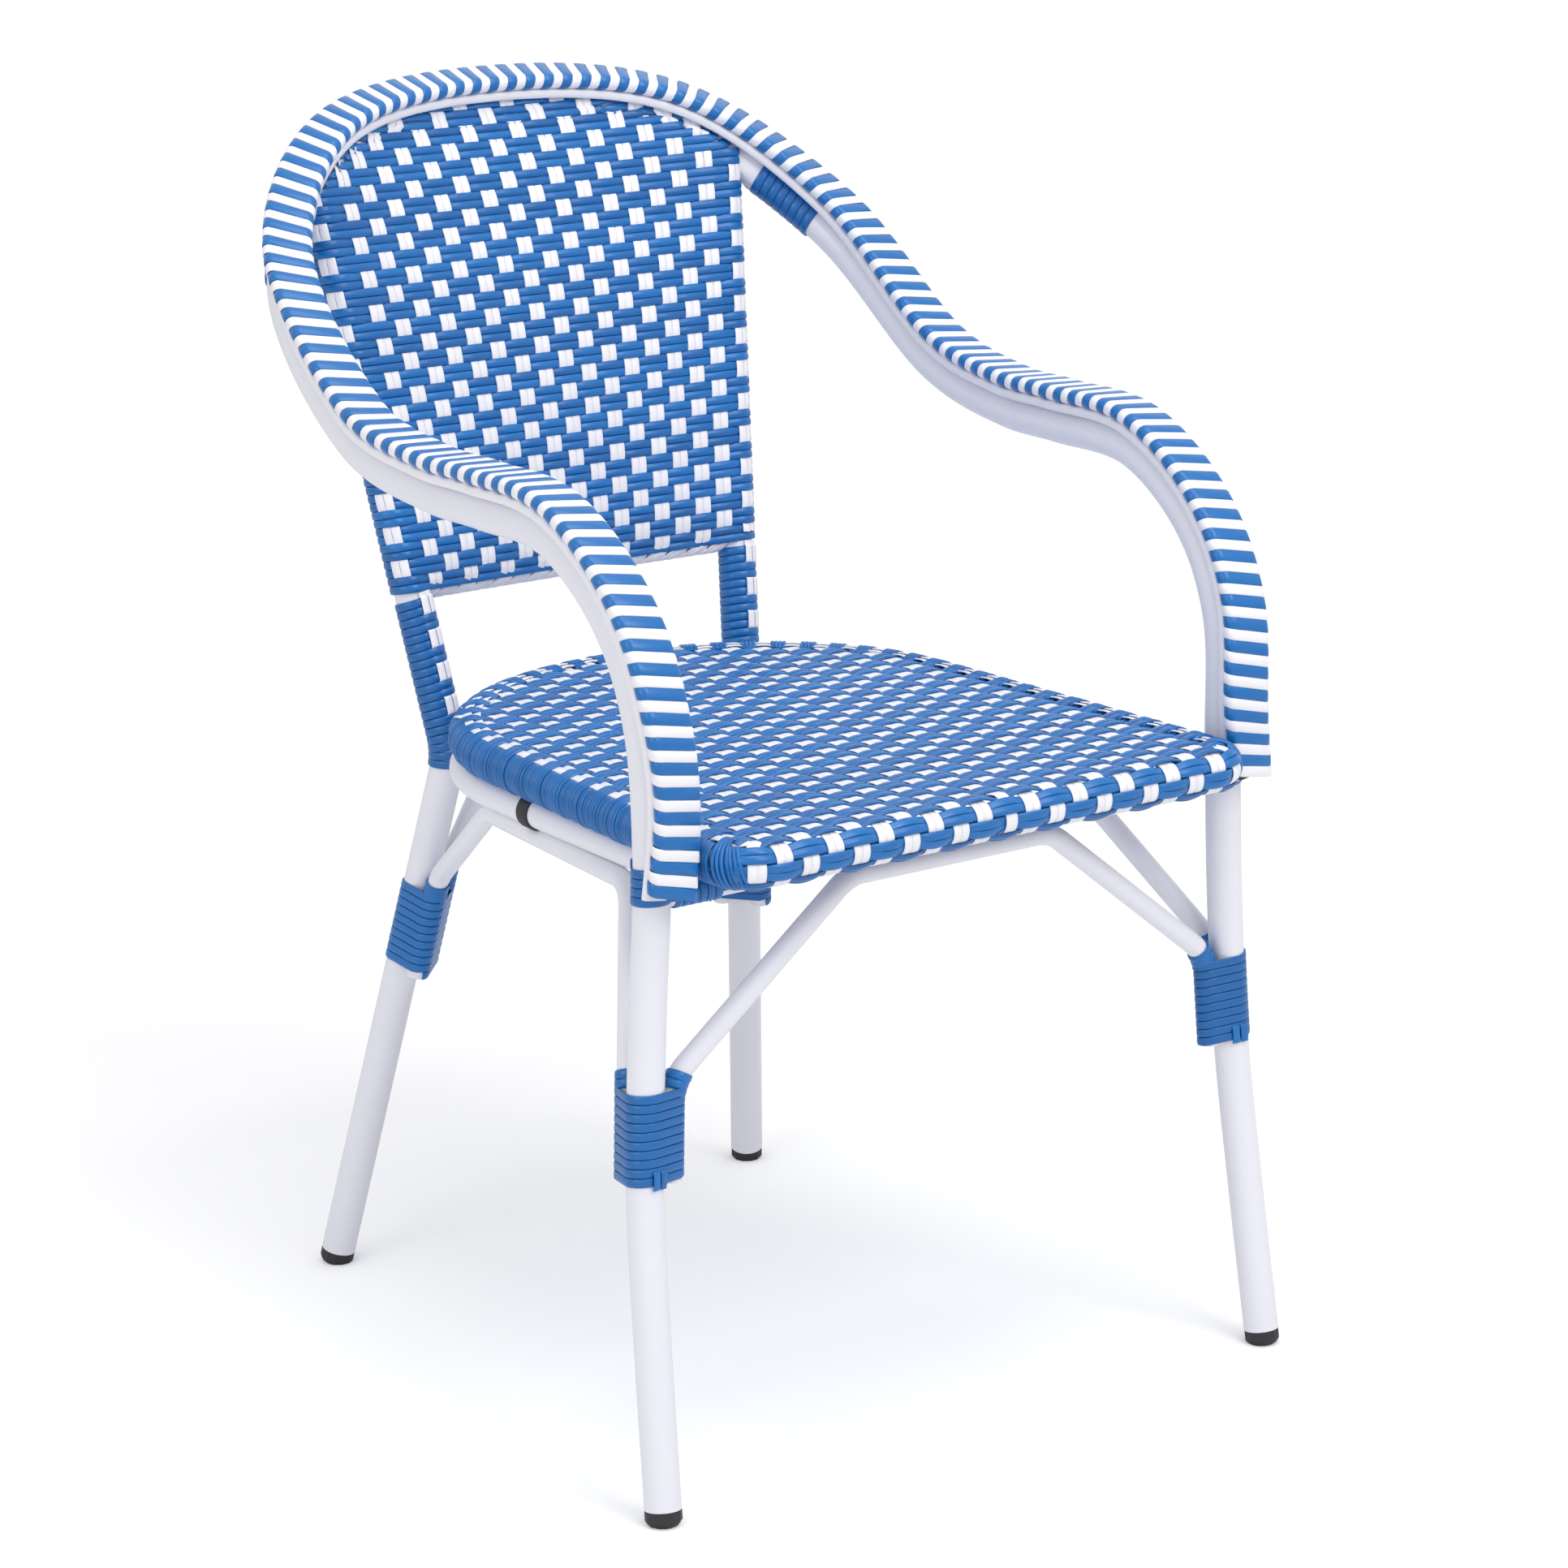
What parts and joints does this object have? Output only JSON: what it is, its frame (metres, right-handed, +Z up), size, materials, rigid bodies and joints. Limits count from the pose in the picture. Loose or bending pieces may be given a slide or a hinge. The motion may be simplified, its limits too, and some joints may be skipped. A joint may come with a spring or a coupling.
{
  "type": "woven bistro armchair",
  "caption": "Bistro armchair with a bent tube frame, a striped strand-wound band over arms and back arch, a woven seat, a woven bowed back and arched braces.",
  "frame": {"origin": "on the floor, under the middle of the chair's box", "axes": "+Z up, the front of the chair faces -Y, +X to the right of someone who looks at the front"},
  "size_m": [0.552, 0.6384, 0.8782],
  "materials": {
    "coat": "white powder coat, satin",
    "strip": "white plastic strip, semi-gloss",
    "blue_strand": "flat blue and white plastic strand, wound, semi-gloss",
    "woven_panel": "flat blue and white plastic strand, woven, semi-gloss",
    "rubber": "black rubber, matt"
  },
  "bodies": {
    "root": {"hoop_tube": "coat", "hoop_strip": "strip", "striped_band": "blue_strand", "rear_leg_left": "coat", "rear_leg_right": "coat", "back_lower_rail": "coat", "back_weave": "woven_panel", "foot_glide_front_left": "rubber", "foot_glide_front_right": "rubber", "foot_glide_rear_left": "rubber", "foot_glide_rear_right": "rubber", "seat_side_rail": "coat", "seat_front_rail": "coat", "rear_stub_left": "coat", "rear_stub_right": "coat", "bumper_left": "rubber", "bumper_right": "rubber", "seat_weave": "woven_panel", "seat_rim_tube": "coat", "brace_front": "coat", "brace_rear": "coat", "brace_left": "coat", "brace_right": "coat", "front_leg_wrap_left": "blue_strand", "front_leg_wrap_right": "blue_strand", "rear_leg_wrap_left": "blue_strand", "rear_leg_wrap_right": "blue_strand", "upright_wrap_left": "blue_strand", "upright_wrap_right": "blue_strand", "leg_top_wrap_left": "blue_strand", "leg_top_wrap_right": "blue_strand", "arch_wrap_left": "blue_strand", "arch_wrap_right": "blue_strand", "front_rail_wrap_left": "blue_strand", "front_rail_wrap_right": "blue_strand"}
  },
  "joints": []
}
